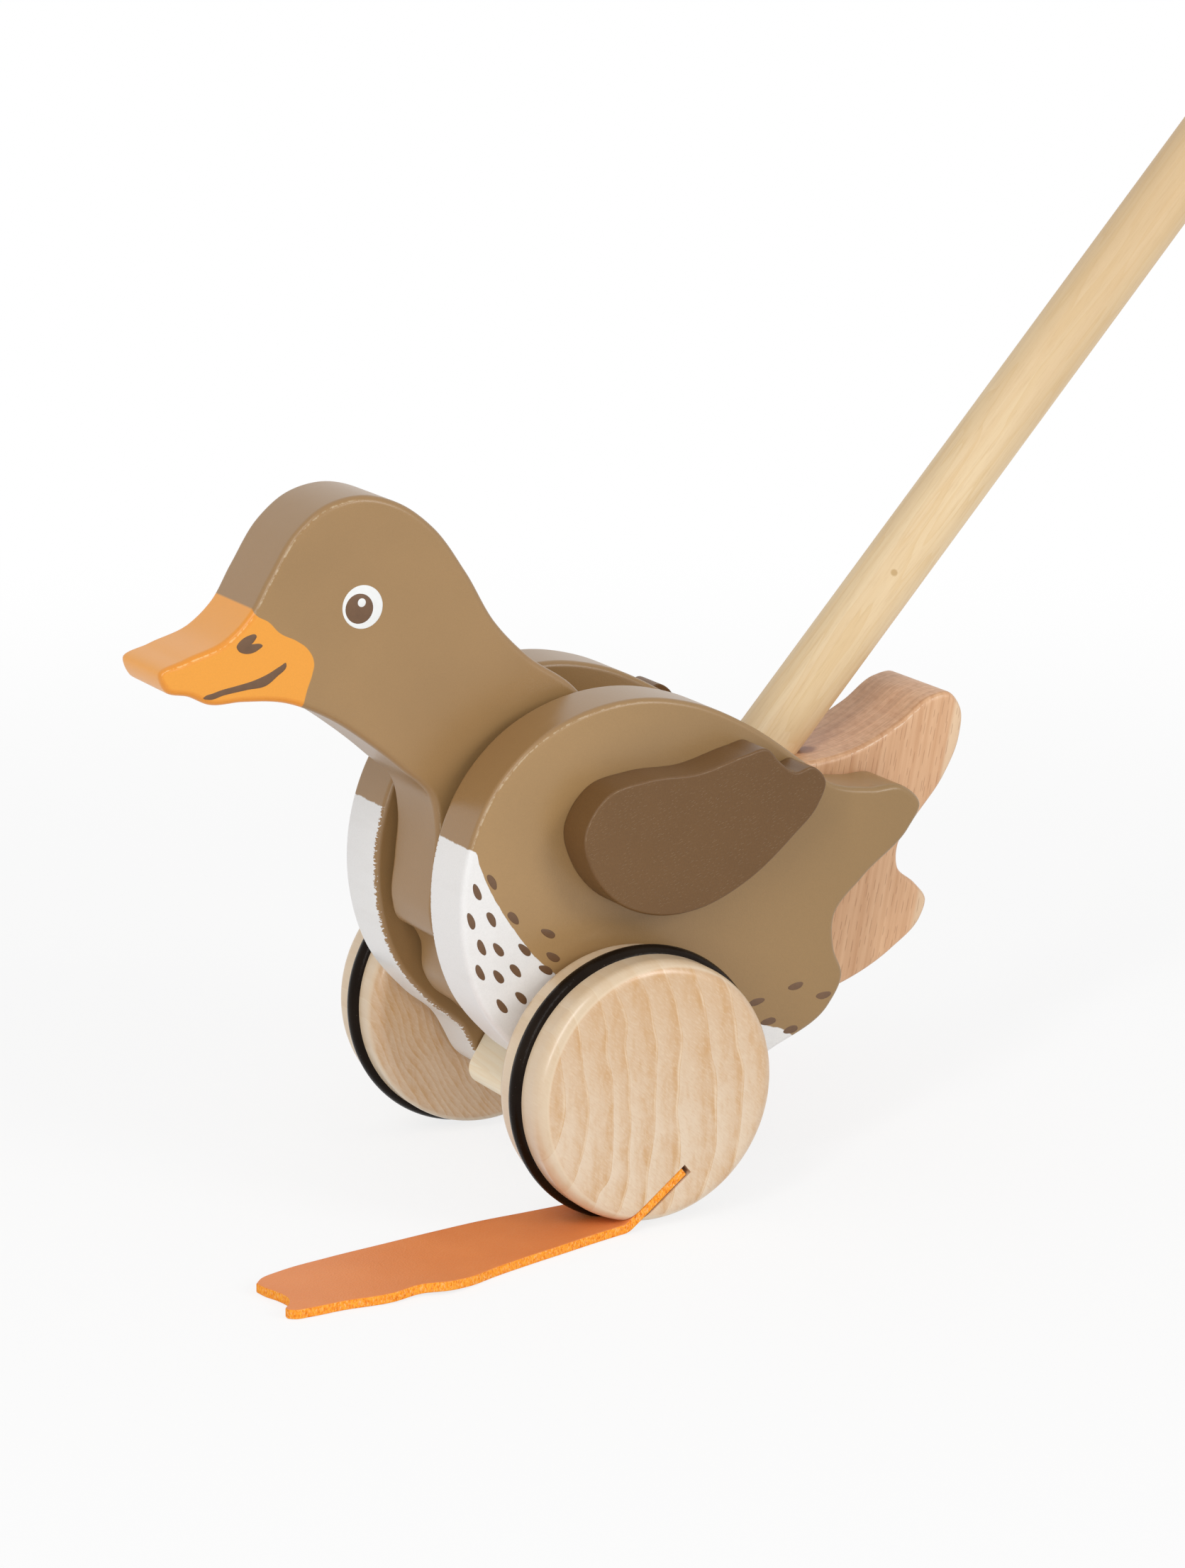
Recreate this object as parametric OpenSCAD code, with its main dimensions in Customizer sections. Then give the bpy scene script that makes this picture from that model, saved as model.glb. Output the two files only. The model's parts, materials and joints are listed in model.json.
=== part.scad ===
// Wooden duck push toy: two side boards with a tail board glued between them,
// a nodding head board, wings, a wheel set with a cam on its axle, leather feet and a push stick.
// X points forward, Y to the duck's left, Z up. The origin is on the floor below the middle of the axle.

/* [Boards] */
// Thickness of each side board
board_t = 16; // [12:0.5:22]
// Gap between the side boards, filled by the tail board
gap_w = 27; // [24:0.5:34]
// Thickness of the head board
head_t = 21.5; // [14:0.5:22]
// Thickness of each wing
wing_t = 10; // [6:0.5:14]
// Angle by which the right wing's rear end sits higher than the left one's
right_wing_lift = 5.3; // [0:0.1:8]
// Radius of the sanded edges
edge_r = 1.4; // [1:0.1:2.4]
// Radius of the lobe that carries the axle
lobe_r = 14; // [12:0.5:16]

/* [Wheels] */
// Diameter of the wheels
wheel_d = 60; // [56:1:70]
// Width of the wheels
wheel_w = 20; // [16:0.5:24]
// Radius of the rounded wheel edges
wheel_edge_r = 3.5; // [2:0.1:4.5]
// Gap between a wheel and its side board
wheel_gap = 1.5; // [1:0.1:3]
// Thickness of the rubber tyre ring
tyre_t = 5.3; // [4.4:0.1:6.2]
// Height of the tyre above the rim
tyre_proud = 1.6; // [1.2:0.1:2.2]
// Diameter of the axle
axle_d = 8; // [6:0.5:10]
// Depth of the axle in each wheel
axle_seat = 14; // [8:0.5:15]

/* [Cam] */
// Reach of the cam's corners from the axle
cam_reach = 18; // [16:0.5:20]
// Thickness of the cam
cam_t = 15.4; // [14:0.2:18]
// Radius of the cam's corners
cam_corner_r = 4; // [2:0.5:6]
// Direction of the cam at rest, up from forward
cam_turn = -58; // [-90:1:90]
// Gap between the cam and each side board
cam_side_gap = 0.5; // [0.3:0.1:1]
// Gap between the cam's corners and the heel of the head
cam_clear = 0.5; // [0.3:0.1:2]

/* [Head pivot] */
// Diameter of the dowel that the head nods on
pivot_d = 8; // [6:0.5:10]
// Place of the dowel, forward of the axle
pivot_x = -6; // [-9:0.5:-3]
// Place of the dowel, above the axle
pivot_z = 56; // [52:0.5:60]
// Depth of the dowel in each side board
pivot_seat = 10; // [6:0.5:11]
// Diameter of the spacer rings beside the head
spacer_d = 18; // [14:1:24]

/* [Stick] */
// Diameter of the push stick
stick_d = 15; // [12:0.5:17]
// Length of the push stick
stick_len = 520; // [400:10:600]
// Lean of the push stick, up from level
stick_lean = 48; // [44:0.5:52]
// Depth of the stick in the tail board
socket_depth = 34; // [26:1:36]
// Diameter of the ball at the top of the stick
knob_d = 38; // [32:1:46]
// Depth of the stick in the ball
knob_seat = 22; // [14:1:24]

/* [Tail dowels] */
// Diameter of the two glue dowels
dowel_d = 8; // [6:0.5:10]
// Depth of the glue dowels in each side board
dowel_seat = 9; // [6:0.5:11]

/* [Feet] */
// Thickness of the leather
leather_t = 2.2; // [1.8:0.1:3]
// Depth of the leather in the wheel
ankle_depth = 16.7; // [12:0.1:18]
// Direction in which the leather leaves the wheel, down from forward
ankle_lean = 38; // [30:1:44]
// Place on the rim where the leather leaves, down from forward
ankle_place = 78; // [72:1:84]
// Radius of the bend at the ankle, on the middle of the leather
ankle_bend_r = 4; // [3:0.1:6]
// Slope of the foot that hangs behind its wheel, down from level
hang_slope = 16; // [8:1:24]

/* [Fits] */
// Radial clearance of a running fit
run_gap = 0.05; // [0.02:0.01:0.1]
// Radial clearance of a glued fit
glue_gap = 0.03; // [0.01:0.01:0.1]
// Clearance between loose neighbours
side_gap = 0.3; // [0.2:0.05:0.5]

/* [Hidden] */
$fn = 48;

// Colours as the photograph shows them
khaki = [0.65, 0.53, 0.37];
wing_brown = [0.44, 0.33, 0.23];
beech = [0.85, 0.68, 0.52];
pale_wood = [0.93, 0.84, 0.70];
stick_wood = [0.90, 0.80, 0.60];
rubber = [0.06, 0.06, 0.06];
leather = [0.90, 0.55, 0.30];

// Length of one step along a curved outline
curve_step = 4.2;
// Steps round the quarter circle of a sanded edge
edge_steps = 3;
// How far a cutting tool runs past what it cuts
past = 1;
// Steps round the bend of an ankle
bend_steps = 8;
// How far the sole's outline runs back into the strap
sole_lap = 1;

wheel_r = wheel_d / 2;
tyre_ring_r = wheel_r + tyre_proud - tyre_t / 2;
axle_z = wheel_r + tyre_proud;
inner_y = gap_w / 2;
outer_y = inner_y + board_t;
wheel_y = outer_y + wheel_gap + wheel_w / 2;
axle_l = 2 * (outer_y + wheel_gap + axle_seat);
heel_r = cam_reach + cam_clear;

// Side board outline, forward and up from the axle: breast, back, rump, belly, axle lobe
side_points = concat(
    [
        [15.6, 0], [23.1, 6.7], [32.4, 18.3], [37.1, 34], [36.4, 50.2], [30, 66], [19.3, 76.8], [4.1, 83.2],
        [-9, 84.2], [-21.8, 81.6], [-36, 74.8], [-50, 64.9], [-58, 58.9], [-68, 56.8], [-76, 56.4],
        [-81, 51.5], [-78, 46], [-66, 36], [-58.3, 27.5], [-58.4, 20], [-60.6, 13.5], [-57, 6.5],
        [-42, -1.8], [-20, -10.4]
    ],
    [for (a = [-105 : 30 : -15]) lobe_r * [cos(a), sin(a)]]
);

// Tail board outline: top edge, upper lobe, lower lobe, and the end glued between the boards
tail_points = [
    [-62, 60.3], [-74, 62.2], [-85, 67], [-93.5, 72.2], [-98.5, 72.6], [-101.8, 68.5], [-101.5, 61.5],
    [-97.5, 52.8], [-89, 42.5], [-85.2, 37.5], [-85.2, 32], [-90, 27.6], [-93, 23.5], [-91.5, 19],
    [-84, 12.6], [-70.5, 6], [-52, 3], [-36, 7], [-25, 18], [-22.5, 34], [-29, 50], [-38, 60], [-50, 61]
];

// Wing outline: front, top edge, feather notch, rear tip, lower edge
wing_points = [
    [12, 57], [6, 66], [-4, 68.3], [-17, 68.5], [-29, 71.3], [-34, 72], [-37.5, 68.5], [-41.5, 65.7],
    [-46, 66.5], [-49.4, 63], [-47.5, 57.5], [-41, 51], [-29, 42], [-17, 37.3], [-7, 37], [4, 41.5],
    [10, 49]
];

// The right wing's outline, turned about its front end
right_wing_points = [for (q = wing_points) turned_up(q, wing_points[0], -right_wing_lift)];

// Head board outline: beak, crown, nape, round end about the pivot, heel over the cam, throat, chin
head_points = concat(
    [
        [99.6, 97.3], [93.5, 99.9], [84, 103.2], [78.7, 107.6], [73.7, 115.5], [66.8, 125.4], [60.3, 130.2],
        [51.1, 132], [41.8, 129.4], [33.7, 123.4], [25.7, 112.6], [18.4, 100.4], [10, 91.8], [0, 84.9]
    ],
    [for (a = [115 : 35 : 220]) [pivot_x, pivot_z] + 15 * [cos(a), sin(a)]],
    [[-5, 36], [5, 25], heel_r * [0.85, 0.76], (heel_r + 0.1) * [0.94, 0.34]],
    [
        [20.8, 9], [25.4, 12.8], [27.6, 17], [28.3, 24.4], [30, 27.4], [34, 30.3], [35.2, 34.5],
        [34.4, 45], [33.6, 55], [35, 62.5], [42, 69.6], [50, 76.4], [60, 83.4], [70, 87.8], [80, 89.1],
        [88, 89.4], [92.5, 91.6], [98, 93.3]
    ]
);

// Places of the glue dowels, forward and up from the axle
dowel_places = [[-64, 45], [-46, 16]];

// Point where the middle of the stick meets the tail board's top edge
stick_entry = [-55, 61];
stick_dir = [-cos(stick_lean), sin(stick_lean)];

// Sole outline, along the foot from the ankle bend and out from the wheel's middle
strap_w = wheel_w - 2 * side_gap;
sole_outer = [
    [-sole_lap, (strap_w - sole_lap) / 2], [7, 11.6], [17, 14.6], [27.5, 17.7], [38, 21.2], [45, 24.2],
    [50, 25.4], [56, 23.9], [63, 25], [75, 24.2], [88, 24.6]
];
sole_toes = [[88, 24.6], [86.1, 21], [84.6, 17.5], [85, 12.2], [86.1, 9], [86.6, 5.3]];
sole_inner = [
    [86.6, 5.3], [84.5, 2.9], [78.6, 0.3], [66.4, -2.5], [51.5, -4.9], [36.5, -7.2], [27, -8.4], [14, -9],
    [-sole_lap, (sole_lap - strap_w) / 2]
];

// Level of the middle of the leather on the floor, counted up from the axle
sole_z = -axle_z + side_gap / 3 + leather_t / 2;
ankle_exit = wheel_r * [cos(-ankle_place), sin(-ankle_place)];
// Straight leather between the rim and the bend, so that the sole lies on the floor
ankle_free = (ankle_exit[1] - sole_z - ankle_bend_r * (1 - cos(ankle_lean))) / sin(ankle_lean);

// Point q turned up from forward about the point c
function turned_up(q, c, angle) = c + [[cos(angle), -sin(angle)], [sin(angle), cos(angle)]] * (q - c);

// Slope of the curve at point i of the closed list p, from its neighbours
function slope_at(p, i) =
    let (
        n = len(p), a = p[(i + n - 1) % n], b = p[i % n], c = p[(i + 1) % n],
        h = norm(b - a), k = norm(c - b)
    )
    ((b - a) * k / h + (c - b) * h / k) / (h + k);

// Point at share t of the cubic span from a to b with end slopes m and o
function on_span(a, b, m, o, t) =
    a + t * m + t * t * (3 * (b - a) - 2 * m - o) + t * t * t * (2 * (a - b) + m + o);

// Smooth closed curve through the points p
function smooth(p) = [
    for (i = [0 : len(p) - 1])
        let (a = p[i], b = p[(i + 1) % len(p)], h = norm(b - a), n = max(2, ceil(h / curve_step)))
        for (k = [0 : n - 1]) on_span(a, b, h * slope_at(p, i), h * slope_at(p, i + 1), k / n)
];

// Smooth open curve through the points p, without its last point
function smooth_open(p) = [
    for (i = [0 : len(p) - 2])
        let (
            a = p[i], b = p[i + 1], h = norm(b - a), n = max(2, ceil(h / curve_step)),
            m = i == 0 ? b - a : h * slope_at(p, i),
            o = i == len(p) - 2 ? b - a : h * slope_at(p, i + 1)
        )
        for (k = [0 : n - 1]) on_span(a, b, m, o, k / n)
];

// Unit vectors pointing into a closed outline that runs anticlockwise
function inward(p) = [
    for (i = [0 : len(p) - 1]) let (s = slope_at(p, i)) [-s[1], s[0]] / norm(s)
];

// Twice the area of triangle a b c, above 0 where it turns anticlockwise
function turn(a, b, c) = (b[0] - a[0]) * (c[1] - a[1]) - (b[1] - a[1]) * (c[0] - a[0]);

function in_triangle(q, a, b, c) = turn(a, b, q) >= 0 && turn(b, c, q) >= 0 && turn(c, a, q) >= 0;

// Is corner i of the ring an ear: convex, with no other corner inside its triangle
function is_ear(p, ring, i) =
    let (n = len(ring), a = ring[(i + n - 1) % n], b = ring[i], c = ring[(i + 1) % n])
    turn(p[a], p[b], p[c]) > 0
    && len([for (k = ring) if (k != a && k != b && k != c && in_triangle(p[k], p[a], p[b], p[c])) k]) == 0;

function first_ear(p, ring, i = 0) =
    i >= len(ring) - 1 || is_ear(p, ring, i) ? i : first_ear(p, ring, i + 1);

// Triangles that fill the outline p, cut off one ear at a time
function fill(p, ring, done = []) =
    len(ring) == 3
        ? concat(done, [ring])
        : let (n = len(ring), i = first_ear(p, ring))
          fill(
              p,
              [for (k = [1 : n - 1]) ring[(i + k) % n]],
              concat(done, [[ring[(i + n - 1) % n], ring[i], ring[(i + 1) % n]]])
          );

// Rings of a board from its low-Y face to its high-Y face: [inset, y]
function edge_rings(low_y, high_y, low_r, high_r) = concat(
    [
        for (k = [0 : edge_steps - 1])
            let (a = 90 * k / edge_steps)
            if (low_r > 0) [low_r * (1 - sin(a)), low_y + low_r * (1 - cos(a))]
    ],
    [[0, low_y + low_r], [0, high_y - high_r]],
    [
        for (k = [1 : edge_steps])
            let (a = 90 * k / edge_steps)
            if (high_r > 0) [high_r * (1 - cos(a)), high_y - high_r * (1 - sin(a))]
    ]
);

// Board of the given outline between two Y planes, with its edges sanded round
module board(points, low_y, high_y, low_r, high_r) {
    outline = smooth(points);
    n = len(outline);
    into = inward(outline);
    rings = edge_rings(low_y, high_y, low_r, high_r);
    last = len(rings) - 1;
    count = [for (i = [0 : n - 1]) i];
    low_cap = fill([for (i = count) outline[i] + rings[0][0] * into[i]], count);
    high_cap = fill([for (i = count) outline[i] + rings[last][0] * into[i]], count);
    polyhedron(
        points = [
            for (ring = rings, i = count)
                let (q = outline[i] + ring[0] * into[i]) [q[0], ring[1], axle_z + q[1]]
        ],
        faces = concat(
            [for (t = low_cap) [t[2], t[1], t[0]]],
            [for (t = high_cap) [for (k = t) k + last * n]],
            [
                for (j = [0 : last - 1], i = count)
                    let (k = (i + 1) % n) each [
                        [j * n + i, j * n + k, (j + 1) * n + k],
                        [j * n + i, (j + 1) * n + k, (j + 1) * n + i]
                    ]
            ]
        )
    );
}

// Cylinder along Y from low_y to high_y, at a place counted forward and up from the axle
module rod_y(place, r, low_y, high_y) {
    translate([place[0], high_y, axle_z + place[1]]) rotate([90, 0, 0]) cylinder(r = r, h = high_y - low_y);
}

// Turns its children up from forward about the axle's direction
module turn_up(angle) {
    rotate([0, -angle, 0]) children();
}

// Stands a flat shape, drawn forward and up, as a slab of width w centred on Y
module slab_y(w) {
    rotate([90, 0, 0]) linear_extrude(w, center = true) children();
}

// Rounded rectangle about the origin
module rounded_rect(w, h, r) {
    square([w - 2 * r, h], center = true);
    square([w, h - 2 * r], center = true);
    for (sx = [-1, 1], sy = [-1, 1]) translate([sx * (w / 2 - r), sy * (h / 2 - r)]) circle(r);
}

// Glued hole of diameter d in a side board's inner face
module blind_hole(side, place, d, depth) {
    mouth = side * (inner_y - past);
    end = side * (inner_y + depth + glue_gap);
    rod_y(place, d / 2 + glue_gap, min(mouth, end), max(mouth, end));
}

// Side board between its two Y planes, bored for the axle, the pivot and the glue dowels
module side_board(side) {
    low = side > 0 ? inner_y : -outer_y;
    high = side > 0 ? outer_y : -inner_y;
    color(khaki) difference() {
        board(side_points, low, high, edge_r, edge_r);
        rod_y([0, 0], axle_d / 2 + run_gap, low - past, high + past);
        blind_hole(side, [pivot_x, pivot_z], pivot_d, pivot_seat);
        for (q = dowel_places) blind_hole(side, q, dowel_d, dowel_seat);
    }
}

module left_side_board() { side_board(1); }

module right_side_board() { side_board(-1); }

// Places its children on the stick's axis, with +Z up the stick and the origin at the socket's floor
module on_stick() {
    foot = stick_entry - socket_depth * stick_dir;
    translate([foot[0], 0, axle_z + foot[1]]) rotate([0, stick_lean - 90, 0]) children();
}

module tail_board() {
    color(beech) difference() {
        board(tail_points, -inner_y, inner_y, edge_r, edge_r);
        on_stick() translate([0, 0, -glue_gap]) cylinder(r = stick_d / 2 + glue_gap, h = 2 * socket_depth);
        for (q = dowel_places) rod_y(q, dowel_d / 2 + glue_gap, -inner_y - past, inner_y + past);
    }
}

// Two dowels that key the side boards to the tail board
module tail_dowels() {
    color(beech) for (q = dowel_places) rod_y(q, dowel_d / 2, -inner_y - dowel_seat, inner_y + dowel_seat);
}

module left_wing() { color(wing_brown) board(wing_points, outer_y, outer_y + wing_t, 0, edge_r); }

module right_wing() { color(wing_brown) board(right_wing_points, -outer_y - wing_t, -outer_y, edge_r, 0); }

module push_stick() { color(stick_wood) on_stick() cylinder(d = stick_d, h = stick_len); }

// Ball at the top of the stick, with a blind hole and a flat lip round it
module stick_knob() {
    lip = sqrt(pow(knob_d / 2, 2) - pow(stick_d / 2 + 2, 2));
    hole_r = stick_d / 2 + glue_gap;
    color(stick_wood) on_stick() translate([0, 0, stick_len - knob_seat + lip]) difference() {
        sphere(d = knob_d);
        translate([0, 0, -knob_d - lip]) cylinder(d = 2 * knob_d, h = knob_d);
        translate([0, 0, -knob_d]) cylinder(r = hole_r, h = knob_d - lip + knob_seat + glue_gap);
    }
}

// Dowel that the head nods on, glued into both side boards
module head_pivot() {
    color(beech) rod_y([pivot_x, pivot_z], pivot_d / 2, -inner_y - pivot_seat, inner_y + pivot_seat);
}

// Ring on the pivot that keeps the head in the middle of the gap
module head_spacer(side) {
    near = head_t / 2 + side_gap;
    low = side > 0 ? near : -inner_y;
    high = side > 0 ? inner_y : -near;
    color(pale_wood) difference() {
        rod_y([pivot_x, pivot_z], spacer_d / 2, low, high);
        rod_y([pivot_x, pivot_z], pivot_d / 2 + glue_gap, low - past, high + past);
    }
}

module left_head_spacer() { head_spacer(1); }

module right_head_spacer() { head_spacer(-1); }

module head_board() {
    color(khaki) difference() {
        board(head_points, -head_t / 2, head_t / 2, edge_r, edge_r);
        rod_y([pivot_x, pivot_z], pivot_d / 2 + run_gap, -head_t, head_t);
    }
}

module axle() { color(pale_wood) rod_y([0, 0], axle_d / 2, -axle_l / 2, axle_l / 2); }

// Oblong block on the axle whose ends push the heel of the head outwards
module cam() {
    corner = cam_reach - cam_corner_r;
    half_l = cam_corner_r + sqrt(pow(corner, 2) - pow(cam_t / 2 - cam_corner_r, 2));
    w = gap_w - 2 * cam_side_gap;
    color(pale_wood) difference() {
        translate([0, 0, axle_z]) turn_up(cam_turn) slab_y(w) rounded_rect(2 * half_l, cam_t, cam_corner_r);
        rod_y([0, 0], axle_d / 2 + glue_gap, -w, w);
    }
}

// Points of the ankle's bend at radius r, first to last
function bend_arc(r, bend) = [
    for (k = [0 : bend_steps]) let (a = bend * k / bend_steps) [0, ankle_bend_r] + r * [sin(a), -cos(a)]
];

// Side view of the leather at one ankle: t thick, with its bend and its first stretch of sole.
// The origin is where the straight leather starts to bend, and forward is along the ankle.
module ankle_view(t, depth, bend, sole_l) {
    lower = bend_arc(ankle_bend_r + t / 2, bend);
    upper = bend_arc(ankle_bend_r - t / 2, bend);
    ahead = sole_l * [cos(bend), sin(bend)];
    polygon(concat(
        [[-depth, -t / 2]], lower, [lower[bend_steps] + ahead, upper[bend_steps] + ahead],
        [for (k = [bend_steps : -1 : 0]) upper[k]], [[-depth, t / 2]]
    ));
}

// Puts its children at a foot's ankle bend: 1 is the left foot, down in front, -1 the right foot, up behind
module at_ankle(side) {
    translate([0, side * wheel_y, axle_z])
        turn_up(side > 0 ? 0 : 180)
        translate([ankle_exit[0], 0, ankle_exit[1]])
        turn_up(-ankle_lean)
        translate([ankle_free, 0, 0])
        children();
}

// Bend at each ankle: the left sole lies on the floor and the right one slopes down behind its wheel
function ankle_bend(side) = side > 0 ? ankle_lean : ankle_lean + hang_slope;

// Leather foot: a strap glued in the wheel's slot, bent at the rim, with a webbed sole
module foot(side) {
    bend = ankle_bend(side);
    depth = ankle_depth + ankle_free;
    bend_end = ankle_bend_r * [sin(bend), 1 - cos(bend)];
    room = 2 * ankle_bend_r;
    heel = sole_inner[len(sole_inner) - 1];
    sole = concat(smooth_open(sole_outer), smooth_open(sole_toes), smooth_open(sole_inner), [heel]);
    color(leather) difference() {
        at_ankle(side) intersection() {
            slab_y(2 * wheel_d) ankle_view(leather_t, depth, bend, 2 * wheel_d);
            union() {
                translate([-depth - past, -strap_w / 2, -room])
                    cube([depth + bend_end[0] + 2 * past, strap_w, 2 * room]);
                translate([bend_end[0], 0, bend_end[1]])
                    turn_up(bend)
                    translate([0, 0, -room])
                    linear_extrude(2 * room)
                    polygon([for (q = sole) [q[0], side * q[1]]]);
            }
        }
        tyre_ring(side, tyre_t / 2 + side_gap);
    }
}

module left_foot() { foot(1); }

module right_foot() { foot(-1); }

// Turned wheel with rounded edges, a groove for the tyre, a blind axle hole and a slot for the leather
module wheel(side) {
    color(pale_wood) difference() {
        translate([0, side * wheel_y, axle_z]) rotate([90, 0, 0]) rotate_extrude() {
            difference() {
                intersection() {
                    rounded_rect(wheel_d, wheel_w, wheel_edge_r);
                    translate([0, -wheel_w]) square([wheel_d, 2 * wheel_w]);
                }
                translate([tyre_ring_r, 0]) circle(tyre_t / 2 + glue_gap);
            }
        }
        rod_y(
            [0, 0], axle_d / 2 + glue_gap,
            side > 0 ? outer_y : -axle_l / 2 - glue_gap,
            side > 0 ? axle_l / 2 + glue_gap : -outer_y
        );
        at_ankle(side)
            slab_y(wheel_w + 2 * past)
            ankle_view(leather_t + side_gap, ankle_depth + ankle_free + past, ankle_bend(side), wheel_r);
    }
}

module left_wheel() { wheel(1); }

module right_wheel() { wheel(-1); }

// Ring of round section about the axle, in the wheel's middle plane
module tyre_ring(side, r) {
    translate([0, side * wheel_y, axle_z])
        rotate([90, 0, 0])
        rotate_extrude()
        translate([tyre_ring_r, 0])
        circle(r);
}

module left_tyre() { color(rubber) tyre_ring(1, tyre_t / 2); }

module right_tyre() { color(rubber) tyre_ring(-1, tyre_t / 2); }

left_side_board();
right_side_board();
tail_board();
tail_dowels();
left_wing();
right_wing();
push_stick();
stick_knob();
head_pivot();
left_head_spacer();
right_head_spacer();
head_board();
axle();
cam();
left_wheel();
right_wheel();
left_tyre();
right_tyre();
left_foot();
right_foot();
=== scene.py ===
import json
import math

import bpy
import numpy as np
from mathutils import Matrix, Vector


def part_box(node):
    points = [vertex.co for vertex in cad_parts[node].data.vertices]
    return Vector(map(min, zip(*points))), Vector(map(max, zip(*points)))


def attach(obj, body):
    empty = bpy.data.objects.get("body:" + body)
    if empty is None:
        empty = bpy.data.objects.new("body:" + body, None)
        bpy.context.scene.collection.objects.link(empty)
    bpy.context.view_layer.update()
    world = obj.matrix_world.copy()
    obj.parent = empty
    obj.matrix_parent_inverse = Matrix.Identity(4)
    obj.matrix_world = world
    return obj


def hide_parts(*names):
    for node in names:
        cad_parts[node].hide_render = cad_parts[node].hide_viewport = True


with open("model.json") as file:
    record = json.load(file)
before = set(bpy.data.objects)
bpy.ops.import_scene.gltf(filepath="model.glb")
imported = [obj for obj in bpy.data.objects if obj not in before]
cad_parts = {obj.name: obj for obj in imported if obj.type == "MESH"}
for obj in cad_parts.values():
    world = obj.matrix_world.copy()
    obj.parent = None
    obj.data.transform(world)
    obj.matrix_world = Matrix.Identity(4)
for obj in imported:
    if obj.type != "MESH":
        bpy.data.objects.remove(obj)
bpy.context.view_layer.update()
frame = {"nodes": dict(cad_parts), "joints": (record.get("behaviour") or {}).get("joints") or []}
nodes = frame["nodes"]
print("frame:", len(nodes), "nodes")

mm = 0.001  # sizes and places are in millimetres, apart from the stage and the lamps


def jointPoint(name):
    # a joint's place
    joint = next(j for j in frame["joints"] if j["name"] == name)
    return [v / mm for v in joint["pos_m"]]


def reach(node, axis):
    # a node's lowest and highest place along an axis
    low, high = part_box(node)
    return low[axis] / mm, high[axis] / mm


axleZ = jointPoint("axle_spin")[2]
pivot = jointPoint("head_nod")
innerY, outerY = reach("left_side_board", 1)
headHalf = reach("head_board", 1)[1]
wingOut = reach("left_wing", 1)[1]
wheelY = sum(reach("left_wheel", 1)) / 2


# Camera: turned and raised as in the photograph, focal length in pixels of its width, seesTo in metres
shot = {
    "width": 1671, "focal": 7000, "azimuth": 151.682, "elevation": 14.032,
    "place": (508.849, 964.945, 363.555), "sensor": 36, "seesTo": 20,
}


def makeCamera():
    turn, rise = math.radians(shot["azimuth"]), math.radians(shot["elevation"])
    camera = bpy.data.cameras.new("camera")
    camera.sensor_fit = "HORIZONTAL"
    camera.sensor_width = shot["sensor"]
    camera.lens = shot["sensor"] * shot["focal"] / shot["width"]
    camera.clip_end = shot["seesTo"]
    holder = bpy.data.objects.new("camera", camera)
    holder.location = [v * mm for v in shot["place"]]
    holder.rotation_euler = (math.pi / 2 - rise, 0, turn)
    bpy.context.scene.collection.objects.link(holder)
    bpy.context.scene.camera = holder


makeCamera()
print("camera set")


# Node helpers: put makes a node and fills its sockets, feed fills one, most others return an output socket
def put(tree, kind, props=None, **sockets):
    node = tree.nodes.new("ShaderNode" + kind)
    for key, value in (props or {}).items():
        setattr(node, key, value)
    for key, value in sockets.items():
        feed(tree, node.inputs[key], value)
    return node


def feed(tree, socket, value):
    if isinstance(value, bpy.types.NodeSocket):
        tree.links.new(value, socket)
    else:
        socket.default_value = value


def calc(tree, operation, a, b=0.0, clamp=False):
    node = put(tree, "Math", {"operation": operation, "use_clamp": clamp})
    feed(tree, node.inputs[0], a)
    feed(tree, node.inputs[1], b)
    return node.outputs[0]


def plus(tree, a, b, clamp=False):
    return calc(tree, "ADD", a, b, clamp)


def minus(tree, a, b, clamp=False):
    return calc(tree, "SUBTRACT", a, b, clamp)


def times(tree, a, b):
    return calc(tree, "MULTIPLY", a, b)


def size(tree, a):
    return calc(tree, "ABSOLUTE", a)


def paintOver(tree, share, under, over, mode="MIX"):
    node = put(tree, "Mix", {"data_type": "RGBA", "blend_type": mode})
    for socket, value in ((0, share), (6, under), (7, over)):  # the factor and the two colours
        feed(tree, node.inputs[socket], value)
    return node.outputs[2]


def shaded(tree, colour, level):
    # the colour times a grey level about one
    grey = put(tree, "CombineColor", Red=level, Green=level, Blue=level).outputs[0]
    return paintOver(tree, 1.0, colour, grey, "MULTIPLY")


def darker(colour, share):
    return tuple(share * v for v in colour[:3]) + (1,)


def spread(tree, value, low, high, lowTo=0.0, highTo=1.0, smooth=False):
    # runs from lowTo, where the value is low, to highTo, where it is high, and stays level beyond
    node = put(tree, "MapRange", {"interpolation_type": "SMOOTHSTEP" if smooth else "LINEAR"}, Value=value)
    for key, number in (("From Min", low), ("From Max", high), ("To Min", lowTo), ("To Max", highTo)):
        feed(tree, node.inputs[key], number)
    return node.outputs[0]


def split(tree, vector):
    return put(tree, "SeparateXYZ", Vector=vector).outputs


def places(tree, turn=(0, 0, 0), stretch=(1, 1, 1)):
    # the piece's own coordinates in millimetres, turned in degrees, then stretched
    source = put(tree, "TexCoord").outputs["Object"]
    angles = [math.radians(v) for v in turn]
    first = put(tree, "Mapping", Vector=source, Scale=(1 / mm,) * 3, Rotation=angles)
    return put(tree, "Mapping", Vector=first.outputs[0], Scale=stretch).outputs[0]


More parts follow.
